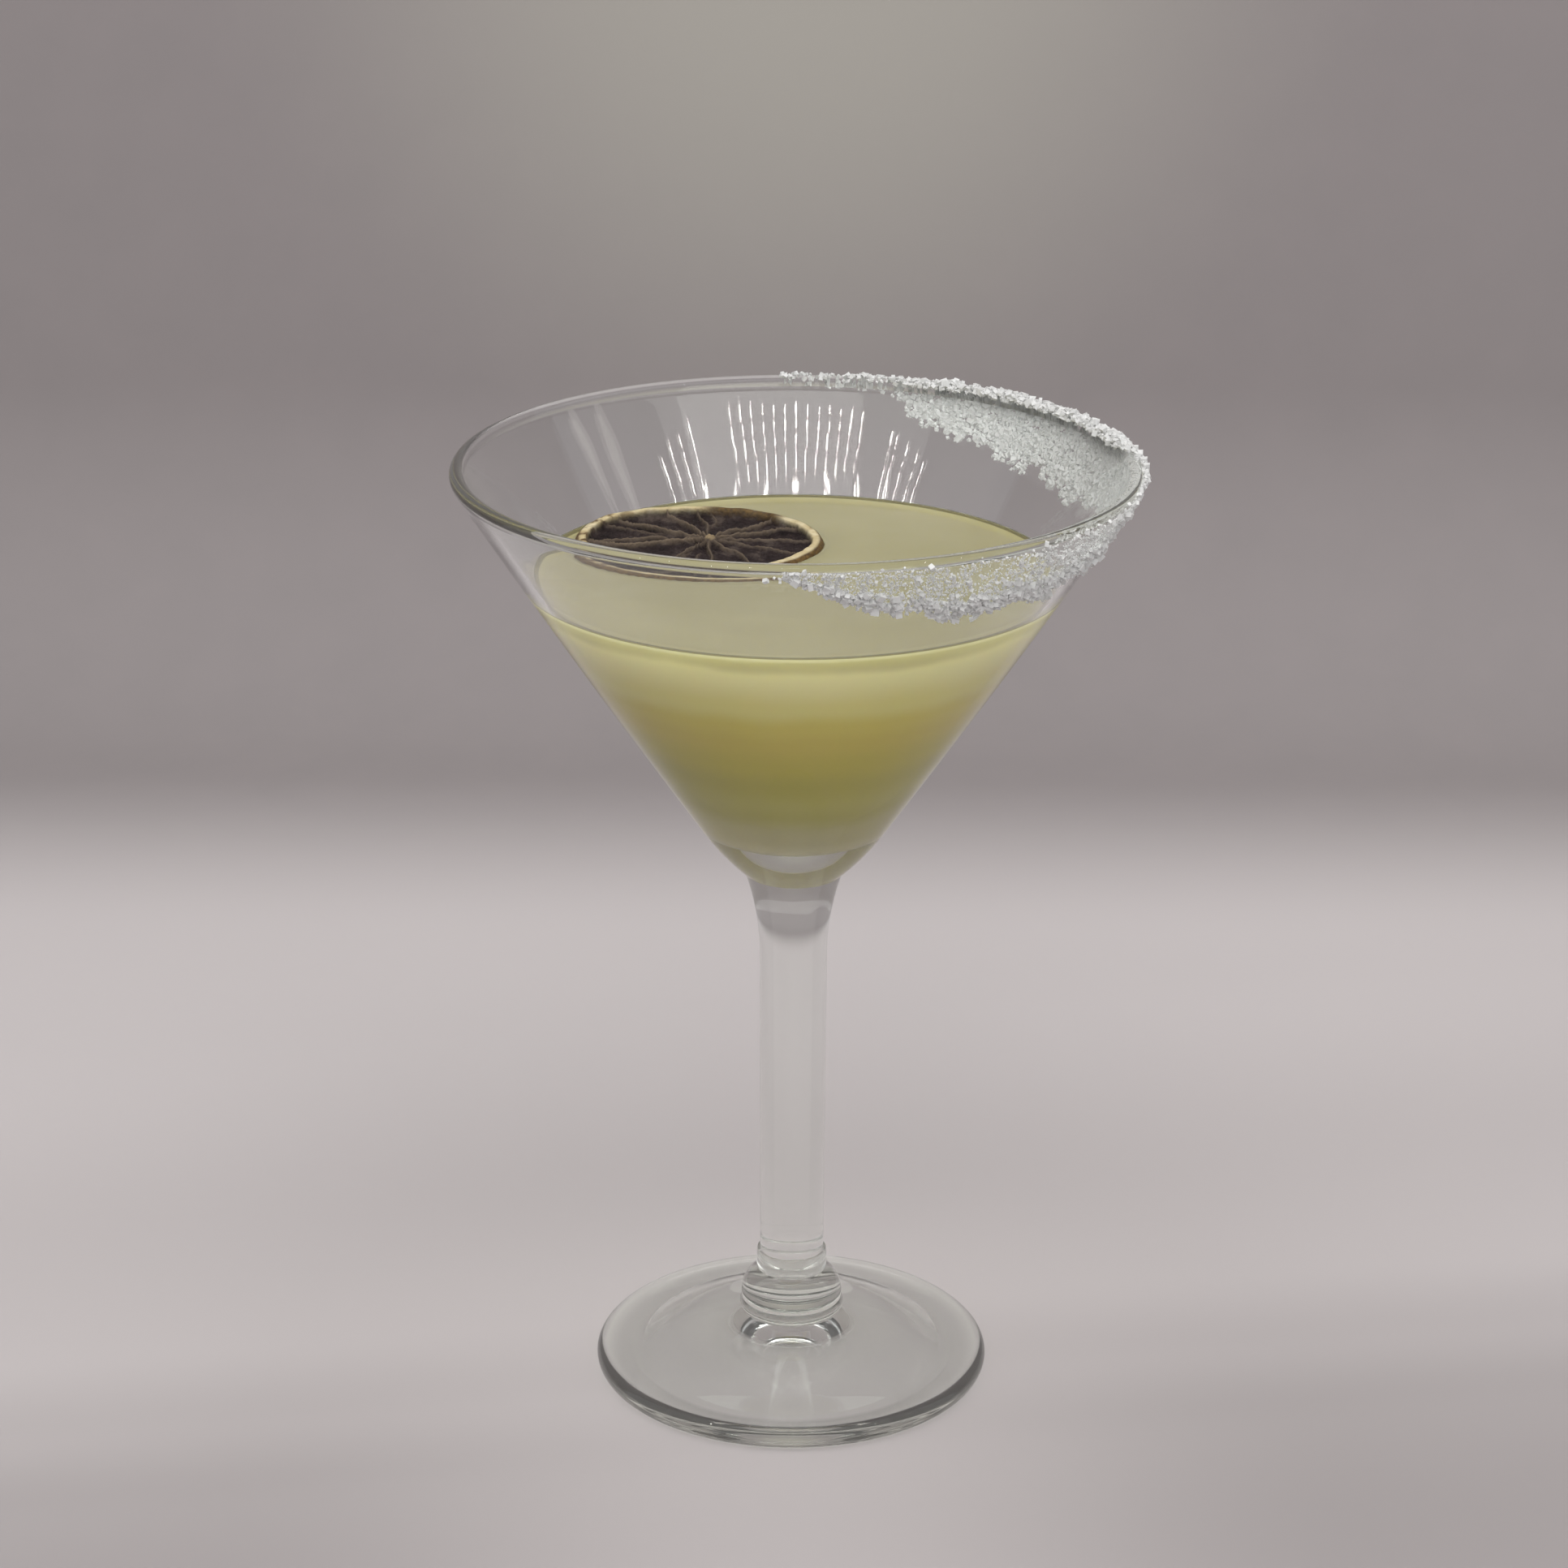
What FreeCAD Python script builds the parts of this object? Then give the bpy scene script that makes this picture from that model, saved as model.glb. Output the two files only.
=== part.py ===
import FreeCAD, Part
import Sketcher
import math
import os

# A salted-rim margarita: a stemmed cocktail glass, the drink in it, a dried lime wheel
# afloat on the drink and a crust of salt round half of the rim.
# Millimetres, +Z up, origin at the middle of the foot's resting plane.

SIZES = {
    # the glass, from the table upwards
    "foot_diameter": 70.0,
    "foot_edge_height": 4.0,
    "foot_ring_width": 6.0,
    "foot_hollow": 5.0,
    "foot_crown_height": 10.6,
    "foot_sweep_radius": 80.0,
    "band_diameter": 17.8,
    "band_height": 2.2,
    "band_radius": 1.9,
    "knop_height": 5.8,
    "knop_radius": 5.6,
    "ring_step": 0.45,
    "ring_height": 1.8,
    "ring_radius": 3.0,
    "stem_diameter": 11.3,
    "stem_growth": 0.5,
    "flare_height": 15.6,
    "flare_radius": 47.0,
    "neck_diameter": 17.0,
    "neck_height": 94.6,
    "shoulder_rise": 8.4,
    "shoulder_spread": 7.48,
    "shoulder_radius": 45.0,
    "side_radius": 1900.0,
    "rim_diameter": 116.0,
    "glass_height": 168.0,
    "wall": 1.9,
    "bead_swell": 0.6,
    "bead_seam": 0.8,
    "floor_thickness": 9.3,
    # the drink
    "headroom": 19.6,
    "meniscus_rise": 0.8,
    "meniscus_reach": 1.6,
    # the dried lime wheel
    "lime_length": 43.4,
    "lime_width": 38.0,
    "lime_thickness": 3.6,
    "lime_skin_round": 1.1,
    "lime_pith": 2.1,
    "lime_recess": 0.8,
    "lime_membrane": 0.8,
    "lime_membrane_drop": 0.3,
    "lime_core": 3.6,
    "lime_bearing": 139.6,
    "lime_gap": 0.8,
    "lime_sunk": 1.9,
    "lime_tilt": 1.2,
    # the salt
    "salt_depth": 13.0,
    "salt_thickness": 0.75,
    "salt_clearance": 0.03,
    "salt_start": -95.0,
    "salt_end": 92.0,
}

SHEET = "Sizes"
LEVEL_RADIUS = "fill_outline.Constraints.level_radius / 1 mm"   # a plain number, as in the sheet
ORIGIN = (-1, 1)       # a sketch's own origin point
AXIS_H = -1            # a sketch's horizontal axis
AXIS_V = -2            # a sketch's vertical axis
CENTRE = 3             # an arc's centre, as a sketch counts its points

MEMBRANES = 12
SALT_STEPS_ROUND = 62
SALT_STEPS_BEAD = 9
SALT_STEPS_WALL = 7

doc = FreeCAD.newDocument("margarita")


# ---------------------------------------------------------------- the sheet and its lengths

def fill_sheet():
    """Puts every driving size in the sheet as a plain number with its name as alias."""
    sheet = doc.addObject("Spreadsheet::Sheet", SHEET)
    for row, (name, value) in enumerate(SIZES.items(), start=1):
        sheet.set(f"A{row}", name)
        sheet.set(f"B{row}", str(value))
        sheet.setAlias(f"B{row}", name)
    doc.recompute()
    return sheet


class Length:
    """A number together with the sheet formula that it comes from."""

    def __init__(self, value, formula):
        self.value = value
        self.formula = formula

    @staticmethod
    def of(other):
        return other if isinstance(other, Length) else Length(float(other), repr(float(other)))

    def __add__(self, other):
        other = Length.of(other)
        return Length(self.value + other.value, f"({self.formula} + {other.formula})")

    def __sub__(self, other):
        other = Length.of(other)
        return Length(self.value - other.value, f"({self.formula} - {other.formula})")

    def __mul__(self, other):
        other = Length.of(other)
        return Length(self.value * other.value, f"({self.formula} * {other.formula})")

    def __truediv__(self, other):
        other = Length.of(other)
        return Length(self.value / other.value, f"({self.formula} / {other.formula})")

    def root(self):
        return Length(math.sqrt(self.value), f"sqrt({self.formula})")


sheet = fill_sheet()


def size(name):
    """One named size of the sheet."""
    return Length(float(sheet.get(name)), f"{SHEET}.{name}")


NONE = Length(0.0, "0")


# ---------------------------------------------------------------- sketching

class Edge:
    """One edge of an outline: its place in the sketch and which of its ends comes first."""

    def __init__(self, index, first, last):
        self.index = index
        self.first = first
        self.last = last


class Outline:
    """A closed outline drawn edge after edge, every corner tied to the sheet."""

    def __init__(self, body, name, plane, height=None, turned=0.0):
        self.sketch = body.newObject("Sketcher::SketchObject", name)
        self.sketch.AttachmentSupport = (origin_feature(body, plane), [""])
        self.sketch.MapMode = "FlatFace"
        self.sketch.AttachmentOffset = FreeCAD.Placement(
            FreeCAD.Vector(0, 0, height.value if height else 0.0),
            FreeCAD.Rotation(FreeCAD.Vector(0, 0, 1), turned),
        )
        if height:
            self.sketch.setExpression("AttachmentOffset.Base.z", height.formula)
        self.here = None
        self.edges = []

    def rule(self, kind, *where, length=None):
        """Adds a constraint, bound to the sheet where it has a length."""
        if length is None:
            return self.sketch.addConstraint(Sketcher.Constraint(kind, *where))
        number = self.sketch.addConstraint(Sketcher.Constraint(kind, *where, length.value))
        self.sketch.setExpression(f"Constraints[{number}]", length.formula)
        return number

    def pin(self, index, end, point):
        """Holds one end of an edge at a point of the plane."""
        across, up = point
        if across.formula == "0":
            self.rule("PointOnObject", index, end, AXIS_V)
        else:
            self.rule("DistanceX", *ORIGIN, index, end, length=across)
        if up.formula == "0":
            self.rule("PointOnObject", index, end, AXIS_H)
        else:
            self.rule("DistanceY", *ORIGIN, index, end, length=up)

    def start(self, point):
        self.begin = point
        self.here = point

    def append(self, geometry, first, last, end, pinned, joined):
        edge = Edge(self.sketch.addGeometry(geometry, False), first, last)
        if self.edges and joined:
            before = self.edges[-1]
            self.rule("Coincident", before.index, before.last, edge.index, edge.first)
        if not self.edges:
            self.pin(edge.index, edge.first, self.here)
        if pinned:
            self.pin(edge.index, edge.last, end)
        self.edges.append(edge)
        self.here = end
        return edge

    def line_to(self, end, pinned=True):
        geometry = Part.LineSegment(flat(self.here), flat(end))
        return self.append(geometry, 1, 2, end, pinned, True)

    def arc_about(self, centre, end, leftward, pinned=True, joined=True):
        """An arc about a centre; leftward arcs turn anticlockwise."""
        middle = flat(centre)
        begin_angle = bearing(middle, flat(self.here))
        end_angle = bearing(middle, flat(end))
        radius = middle.distanceToPoint(flat(self.here))
        circle = Part.Circle(middle, FreeCAD.Vector(0, 0, 1), radius)
        low, high = (begin_angle, end_angle) if leftward else (end_angle, begin_angle)
        if high < low:
            high += 2 * math.pi
        first, last = (1, 2) if leftward else (2, 1)
        return self.append(Part.ArcOfCircle(circle, low, high), first, last, end, pinned, joined)

    def arc_to(self, end, radius, leftward):
        """An arc of a given radius to a pinned point, the short way round."""
        centre = arc_centre(self.here, end, radius, leftward)
        edge = self.arc_about(centre, end, leftward)
        self.rule("Radius", edge.index, length=radius)
        return edge

    def close(self):
        """A straight edge back to the first corner."""
        edge = self.line_to(self.begin, pinned=False)
        self.rule("Coincident", edge.index, edge.last, self.edges[0].index, self.edges[0].first)

    def guide_arc(self, start, end, radius, leftward):
        """A construction arc between two pinned points."""
        outline_here, self.here = self.here, start
        centre = flat(arc_centre(start, end, radius, leftward))
        circle = Part.Circle(centre, FreeCAD.Vector(0, 0, 1), radius.value)
        low, high = bearing(centre, flat(start)), bearing(centre, flat(end))
        first, last = 1, 2
        if not leftward:
            low, high, first, last = high, low, 2, 1
        index = self.sketch.addGeometry(Part.ArcOfCircle(circle, low, high), True)
        self.pin(index, first, start)
        self.pin(index, last, end)
        self.rule("Radius", index, length=radius)
        self.here = outline_here
        return Edge(index, first, last)


def flat(point):
    return FreeCAD.Vector(point[0].value, point[1].value, 0)


def bearing(centre, point):
    return math.atan2(point.y - centre.y, point.x - centre.x)


def plain(across, up):
    """A point known only by its numbers, which the sketch settles by its other rules."""
    return (Length(across, ""), Length(up, ""))


def arc_centre(start, end, radius, leftward):
    """The centre of the short arc from start to end, on the left of the way it goes or not."""
    first, last = flat(start), flat(end)
    chord = last - first
    middle = (first + last) * 0.5
    rise = math.sqrt(radius.value ** 2 - (chord.Length / 2) ** 2)
    left = FreeCAD.Vector(-chord.y, chord.x, 0).normalize()
    centre = middle + left * (rise if leftward else -rise)
    return plain(centre.x, centre.y)


def origin_feature(body, role):
    for feature in body.Origin.OriginFeatures:
        if feature.Role == role:
            return feature
    raise ValueError(role)


def new_body(label):
    body = doc.addObject("PartDesign::Body", label)
    body.Label = label
    return body


def revolve(body, outline, name):
    """A full turn of an outline about the upright axis."""
    turn = body.newObject("PartDesign::Revolution", name)
    turn.Profile = outline.sketch
    turn.ReferenceAxis = (outline.sketch, ["V_Axis"])
    turn.Angle = 360.0
    doc.recompute()
    return turn


# ---------------------------------------------------------------- places that pieces share

neck_height = size("neck_height")
shoulder = (
    size("neck_diameter") / 2 + size("shoulder_spread"),
    neck_height + size("shoulder_rise"),
)
bead_radius = (size("wall") + size("bead_swell")) / 2
bead_centre = (size("rim_diameter") / 2 - bead_radius, size("glass_height") - bead_radius)
seam = (
    bead_centre[0] + (bead_radius * bead_radius - size("bead_seam") * size("bead_seam")).root(),
    bead_centre[1] - size("bead_seam"),
)
floor_height = neck_height + size("floor_thickness")
fill_height = size("glass_height") - size("headroom")


class BowlGuess:
    """The bowl's inner line worked out in plain numbers, where the sketches start from."""

    def __init__(self):
        self.centre = arc_centre(shoulder, seam, size("side_radius"), True)
        self.across = self.centre[0].value
        self.up = self.centre[1].value
        self.outer_radius = size("side_radius").value
        self.inner_radius = self.outer_radius - size("wall").value
        self.floor_radius = self.settle_floor()

    def inner_at(self, height):
        """The inner line's distance from the upright axis at a height."""
        rise = height - self.up
        return self.across + math.sqrt(self.inner_radius ** 2 - rise ** 2)

    def outer_at(self, height):
        rise = height - self.up
        return self.across + math.sqrt(self.outer_radius ** 2 - rise ** 2)

    def settle_floor(self):
        """The floor's radius, by halving, so that its arc just touches the inner line."""
        low, high = 0.1, self.inner_radius
        for _ in range(80):
            middle = (low + high) / 2
            gap = math.hypot(self.across, floor_height.value + middle - self.up)
            if gap + middle > self.inner_radius:
                high = middle
            else:
                low = middle
        return (low + high) / 2

    def floor_centre(self):
        return plain(0.0, floor_height.value + self.floor_radius)

    def touch(self):
        """Where the floor's arc touches the inner line."""
        middle = flat(self.floor_centre())
        away = middle - FreeCAD.Vector(self.across, self.up, 0)
        away.normalize()
        return plain(middle.x + away.x * self.floor_radius, middle.y + away.y * self.floor_radius)

    def bead_inside(self):
        """Where the inner line enters the bead on the bowl's inside."""
        middle = flat(bead_centre)
        reach = bead_radius.value
        low, high = 0.0, math.pi / 2
        for _ in range(60):
            turn = (low + high) / 2
            across = middle.x - reach * math.cos(turn)
            up = middle.y - reach * math.sin(turn)
            if across > self.inner_at(up):
                high = turn
            else:
                low = turn
        return plain(across, up)


def floor_arc(outline, guess, side):
    """The rounded floor of the bowl, from the side's foot to the upright axis."""
    outline.here = guess.touch()
    arc = outline.arc_about(
        guess.floor_centre(), (NONE, floor_height), False, pinned=False, joined=False
    )
    outline.rule("Tangent", side.index, side.last, arc.index, arc.first)
    outline.rule("PointOnObject", arc.index, CENTRE, AXIS_V)
    outline.pin(arc.index, arc.last, (NONE, floor_height))


# ---------------------------------------------------------------- the glass

def build_glass():
    """One piece of glass: hollow foot, knop with its rings, stem, flare and beaded bowl."""
    body = new_body("glass")
    guess = BowlGuess()
    line = Outline(body, "glass_outline", "XZ_Plane")

    foot_radius = size("foot_diameter") / 2
    edge_round = size("foot_edge_height") / 2
    ring_outside = foot_radius - edge_round
    ring_inside = ring_outside - size("foot_ring_width")
    crown = size("foot_crown_height")
    band_radius = size("band_diameter") / 2
    band_top = crown + size("band_height")
    knop_top = band_top + size("knop_height")
    stem_radius = size("stem_diameter") / 2
    ring_radius = stem_radius + size("ring_step")
    stem_top = neck_height - size("flare_height")

    # the hollow under the foot and the flat ring that it stands on
    line.start((NONE, size("foot_hollow")))
    drop = size("foot_hollow").value
    dome = (ring_inside.value ** 2 + drop ** 2) / (2 * drop)
    hollow = line.arc_about(plain(0.0, drop - dome), (ring_inside, NONE), False)
    line.rule("PointOnObject", hollow.index, CENTRE, AXIS_V)
    line.line_to((ring_outside, NONE))

    # the foot's full-round edge and its top, sweeping up to the knop
    edge = line.arc_about((ring_outside, edge_round), (ring_outside, size("foot_edge_height")), True)
    line.rule("DistanceX", *ORIGIN, edge.index, CENTRE, length=ring_outside)
    line.arc_to((band_radius, crown), size("foot_sweep_radius"), False)

    # the knop: a low bulging band, then the shoulder that draws in to the rings
    line.arc_to((band_radius, band_top), size("band_radius"), True)
    line.arc_to((ring_radius, knop_top), size("knop_radius"), True)
    ring_bottom = knop_top
    for _ in range(2):
        ring_top = ring_bottom + size("ring_height")
        line.arc_to((ring_radius, ring_top), size("ring_radius"), True)
        ring_bottom = ring_top
    line.line_to((stem_radius, ring_bottom))

    # the stem, a little thicker upwards, and its flare to the neck
    line.line_to((stem_radius + size("stem_growth") / 2, stem_top))
    line.arc_to((size("neck_diameter") / 2, neck_height), size("flare_radius"), False)

    # the bowl: rounded shoulder, long side, bead, inner side and floor
    line.arc_to(shoulder, size("shoulder_radius"), True)
    side = line.arc_to(seam, size("side_radius"), True)
    bead = line.arc_about(bead_centre, guess.bead_inside(), True, pinned=False)
    line.pin(bead.index, CENTRE, bead_centre)
    inner = line.arc_about(guess.centre, guess.touch(), False, pinned=False)
    line.rule("Coincident", inner.index, CENTRE, side.index, CENTRE)
    line.rule("Radius", inner.index, length=size("side_radius") - size("wall"))
    floor_arc(line, guess, inner)
    line.here = (NONE, floor_height)
    line.close()

    revolve(body, line, "glass_turn")
    return body


# ---------------------------------------------------------------- the drink

def build_fill():
    """All that the bowl holds up to the drink's level, climbing a little at the wall."""
    body = new_body("fill")
    guess = BowlGuess()
    line = Outline(body, "fill_outline", "XZ_Plane")
    side = line.guide_arc(shoulder, seam, size("side_radius"), True)
    contact = fill_height + size("meniscus_rise")
    wall_radius = guess.inner_at(contact.value)
    flat_radius = wall_radius - size("meniscus_reach").value

    line.start((NONE, fill_height))
    line.line_to((Length(flat_radius, ""), fill_height), pinned=False)
    surface = line.edges[-1]
    line.rule("Horizontal", surface.index)
    climb = size("meniscus_rise").value
    curve = (size("meniscus_reach").value ** 2 + climb ** 2) / (2 * climb)
    meniscus = line.arc_about(
        plain(flat_radius, fill_height.value + curve),
        (Length(wall_radius, ""), contact), True, pinned=False, joined=False,
    )
    line.rule("Tangent", surface.index, surface.last, meniscus.index, meniscus.first)
    line.rule("DistanceY", *ORIGIN, meniscus.index, meniscus.last, length=contact)
    line.rule(
        "DistanceX", meniscus.index, meniscus.first, meniscus.index, meniscus.last,
        length=size("meniscus_reach"),
    )
    inner = line.arc_about(guess.centre, guess.touch(), False, pinned=False)
    line.rule("Coincident", inner.index, CENTRE, side.index, CENTRE)
    line.rule("Radius", inner.index, length=size("side_radius") - size("wall"))
    floor_arc(line, guess, inner)
    line.here = (NONE, floor_height)
    line.close()
    level = line.rule("DistanceX", *ORIGIN, surface.index, surface.last, flat_radius)
    line.sketch.setDriving(level, False)
    line.sketch.renameConstraint(level, "level_radius")
    revolve(body, line, "fill_turn")
    return body


# ---------------------------------------------------------------- the dried lime wheel

def ellipse_outline(body, name, height, length, width):
    """A sketch with one ellipse about the body's upright axis."""
    line = Outline(body, name, "XY_Plane", height)
    line.sketch.addGeometry(
        Part.Ellipse(FreeCAD.Vector(0, 0, 0), length.value / 2, width.value / 2), False
    )
    line.sketch.exposeInternalGeometry(0)
    line.rule("Coincident", 0, CENTRE, *ORIGIN)
    line.rule("PointOnObject", 1, 1, AXIS_H)
    line.rule("Distance", 1, length=length)
    line.rule("Distance", 2, length=width)
    return line


def grow(body, kind, outline, name, length):
    """A pad or pocket of an outline."""
    feature = body.newObject(f"PartDesign::{kind}", name)
    feature.Profile = outline.sketch
    feature.Length = length.value
    feature.setExpression("Length", length.formula)
    doc.recompute()
    return feature


def membrane_angle(number):
    """Where a membrane points: unevenly spaced, as in a real fruit."""
    return 360.0 * number / MEMBRANES + 6.5 * math.sin(2.4 * number + 0.6)


def membrane_bow(number):
    """How strongly a membrane curls: the radius of its sides, to the left or the right."""
    return 26.0 + 9.0 * (number * 5 % 4), number % 3 != 1


def build_membrane(body, number, floor, height):
    """One thin wall from the core to the pith, standing on the shrunken flesh."""
    turned = membrane_angle(number)
    line = Outline(body, f"membrane_{number:02d}_outline", "XY_Plane", floor, turned)
    half = size("lime_membrane") / 2
    along = (size("lime_length") - size("lime_pith")) / 2
    beside = (size("lime_width") - size("lime_pith")) / 2
    cosine, sine = math.cos(math.radians(turned)), math.sin(math.radians(turned))
    spread = beside * beside * cosine ** 2 + along * along * sine ** 2
    reach = along * beside / spread.root()
    bow, leftward = membrane_bow(number)
    bow = Length.of(bow) + reach - reach.value
    line.start((NONE, NONE))
    line.line_to((size("lime_core") * 0.1, NONE - half))
    line.arc_to((reach, NONE - half * 1.5), bow, leftward)
    line.line_to((reach, half * 1.5))
    line.arc_to((size("lime_core") * 0.1, half), bow, not leftward)
    line.close()
    return grow(body, "Pad", line, f"membrane_{number:02d}", height)


def build_lime():
    """A dried slice: skin and pith round sunken flesh, with membranes out from the core."""
    body = new_body("lime_wheel")
    length, width = size("lime_length"), size("lime_width")
    half_thickness = size("lime_thickness") / 2
    pith = size("lime_pith")

    blank = ellipse_outline(body, "slice_outline", NONE - half_thickness, length, width)
    slab = grow(body, "Pad", blank, "slice", size("lime_thickness"))
    rounding = body.newObject("PartDesign::Fillet", "skin")
    rims = [
        f"Edge{number}"
        for number, edge in enumerate(slab.Shape.Edges, start=1)
        if edge.BoundBox.ZLength < 1e-6
    ]
    rounding.Base = (slab, rims)
    rounding.Radius = size("lime_skin_round").value
    rounding.setExpression("Radius", size("lime_skin_round").formula)
    doc.recompute()

    inside = ellipse_outline(
        body, "flesh_outline", half_thickness, length - pith * 2, width - pith * 2
    )
    features = [grow(body, "Pocket", inside, "flesh", size("lime_recess"))]
    floor = half_thickness - size("lime_recess")
    height = size("lime_recess") - size("lime_membrane_drop")
    for number in range(MEMBRANES):
        features.append(build_membrane(body, number, floor, height))
    core = ellipse_outline(body, "core_outline", floor, size("lime_core"), size("lime_core") * 0.8)
    features.append(grow(body, "Pad", core, "core", height))

    other_side = body.newObject("PartDesign::Mirrored", "other_side")
    other_side.Originals = features
    other_side.MirrorPlane = (origin_feature(body, "XY_Plane"), [""])
    body.Tip = other_side

    # afloat: tilted a little, its edge a small gap inside the foot of the meniscus
    middle = fill_height - size("lime_sunk") + half_thickness
    tilt = size("lime_tilt")
    mean_radius = (length + width) / 4
    away = f"({LEVEL_RADIUS} - {(mean_radius + size('lime_gap')).formula})"
    bearing_name = size("lime_bearing").formula
    body.Placement = FreeCAD.Placement(
        FreeCAD.Vector(0, 0, middle.value),
        FreeCAD.Rotation(FreeCAD.Vector(0, 1, 0), tilt.value),
    )
    body.setExpression("Placement.Base.x", f"{away} * cos({bearing_name})")
    body.setExpression("Placement.Base.y", f"{away} * sin({bearing_name})")
    body.setExpression("Placement.Base.z", middle.formula)
    body.setExpression("Placement.Rotation.Angle", tilt.formula)
    doc.recompute()
    return body


def build_drink(fill, lime):
    """The drink, cut round the lime wheel that floats in it."""
    drink = doc.addObject("Part::Cut", "drink")
    drink.Label = "drink"
    drink.Base = fill
    drink.Tool = lime
    doc.recompute()
    return drink


# ---------------------------------------------------------------- the salt

def smooth(value):
    """Rises softly from 0 to 1."""
    value = min(1.0, max(0.0, value))
    return value * value * (3 - 2 * value)


def salt_depth_at(turn):
    """How far below the rim the crust reaches at an angle round the rim, in degrees."""
    start, end = size("salt_start").value, size("salt_end").value
    rise = smooth((turn - start) / 34.0)
    fall = smooth((end - turn) / 48.0)
    ripple = 0.07 * math.sin(turn * 0.21 + 1.0) + 0.05 * math.sin(turn * 0.47)
    return size("salt_depth").value * (0.10 + 0.90 * rise * fall) * (1 + ripple)


def salt_top_at(turn):
    """How far over the bead the crust climbs, in radians above the bead's outer side."""
    back = smooth((turn + 14.0) / 22.0)
    return math.radians(38.0 + 88.0 * back)


def salt_thickness_at(turn, along):
    """Lumpy, and thin at the crust's edges; along runs from 0 at the top to 1 at the bottom."""
    lump = math.sin(turn * 0.83 + 9.0 * along) * math.sin(turn * 0.37 - 14.0 * along + 1.3)
    thin = smooth(along / 0.12) * smooth((1.0 - along) / 0.18)
    start, end = size("salt_start").value, size("salt_end").value
    ends = smooth((turn - start) / 8.0) * smooth((end - turn) / 10.0)
    return size("salt_thickness").value * (0.35 + 0.65 * thin * ends) * (1 + 0.35 * lump)


def rim_line(turn, guess):
    """Points and outward directions on the glass that the crust covers at one angle."""
    radius = bead_radius.value
    middle = flat(bead_centre)
    low_angle = -math.asin(size("bead_seam").value / radius)
    top_angle = salt_top_at(turn)
    rows = []
    for step in range(SALT_STEPS_BEAD + 1):
        angle = top_angle + (low_angle - top_angle) * step / SALT_STEPS_BEAD
        away = (math.cos(angle), math.sin(angle))
        rows.append(((middle.x + radius * away[0], middle.y + radius * away[1]), away))
    top = seam[1].value
    bottom = size("glass_height").value - salt_depth_at(turn)
    bottom = min(bottom, top - 0.8)
    for step in range(1, SALT_STEPS_WALL + 1):
        up = top + (bottom - top) * step / SALT_STEPS_WALL
        across = guess.outer_at(up)
        away = ((across - guess.across) / guess.outer_radius, (up - guess.up) / guess.outer_radius)
        rows.append(((across, up), away))
    return rows


def build_salt():
    """The crust as one faceted solid that hugs the bead and the outside of the bowl."""
    guess = BowlGuess()
    start, end = size("salt_start").value, size("salt_end").value
    gap = size("salt_clearance").value
    inner_rows, outer_rows = [], []
    for step in range(SALT_STEPS_ROUND + 1):
        turn = start + (end - start) * step / SALT_STEPS_ROUND
        rows = rim_line(turn, guess)
        inner, outer = [], []
        for number, (place, away) in enumerate(rows):
            thick = salt_thickness_at(turn, number / (len(rows) - 1))
            inner.append(round_axis(place, away, gap, turn))
            outer.append(round_axis(place, away, gap + thick, turn))
        inner_rows.append(inner)
        outer_rows.append(outer)

    faces = []
    last = len(inner_rows[0]) - 1
    for left in range(SALT_STEPS_ROUND):
        right = left + 1
        for row in range(last):
            faces += quad(outer_rows, left, right, row, row + 1)
            faces += quad(inner_rows, right, left, row, row + 1)
        faces += strip(inner_rows, outer_rows, left, right, 0)
        faces += strip(outer_rows, inner_rows, left, right, last)
    for row in range(last):
        faces += cap(inner_rows[0], outer_rows[0], row)
        faces += cap(outer_rows[-1], inner_rows[-1], row)
    shell = Part.makeShell(faces)
    shell.sewShape()
    solid = Part.makeSolid(shell)
    if solid.Volume < 0:
        solid.reverse()
    salt = doc.addObject("Part::Feature", "salt_rim")
    salt.Label = "salt_rim"
    salt.Shape = solid
    salt.Placement = FreeCAD.Placement()
    return salt


def round_axis(place, away, gap, turn):
    """A point of the upright half-plane, moved out by a gap and turned about the axis."""
    across = place[0] + away[0] * gap
    up = place[1] + away[1] * gap
    angle = math.radians(turn)
    return FreeCAD.Vector(across * math.cos(angle), across * math.sin(angle), up)


def triangle(first, second, third):
    return Part.Face(Part.makePolygon([first, second, third, first]))


def quad(rows, left, right, top, bottom):
    a, b = rows[left][top], rows[right][top]
    c, d = rows[right][bottom], rows[left][bottom]
    return [triangle(a, c, b), triangle(a, d, c)]


def strip(near, far, left, right, row):
    a, b = near[left][row], near[right][row]
    c, d = far[right][row], far[left][row]
    return [triangle(a, c, b), triangle(a, d, c)]


def cap(near, far, row):
    a, b = near[row], near[row + 1]
    c, d = far[row + 1], far[row]
    return [triangle(a, b, c), triangle(a, c, d)]


# ---------------------------------------------------------------- making and writing

def check(parts):
    """Stops if any object failed or any piece isn't one valid solid."""
    doc.recompute()
    for thing in doc.Objects:
        if "Invalid" in thing.State or "Error" in thing.State:
            raise RuntimeError(f"{thing.Name} is {thing.State}")
    for part in parts:
        shape = part.Shape
        if shape.isNull() or not shape.isValid() or len(shape.Solids) != 1:
            raise RuntimeError(f"{part.Label}: valid {shape.isValid()}, {len(shape.Solids)} solids")
        print(f"{part.Label}: {shape.Volume:.1f} mm3, {len(shape.Faces)} faces")


glass = build_glass()
fill = build_fill()
lime_wheel = build_lime()
drink = build_drink(fill, lime_wheel)
salt_rim = build_salt()
pieces = [glass, drink, lime_wheel, salt_rim]
check(pieces)
os.makedirs("parts", exist_ok=True)
for piece in pieces:
    piece.Shape.exportStep(f"parts/{piece.Label}.step")
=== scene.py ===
import math
import random

import bpy
import bmesh
import numpy as np
from mathutils import Matrix, Vector, noise


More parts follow.
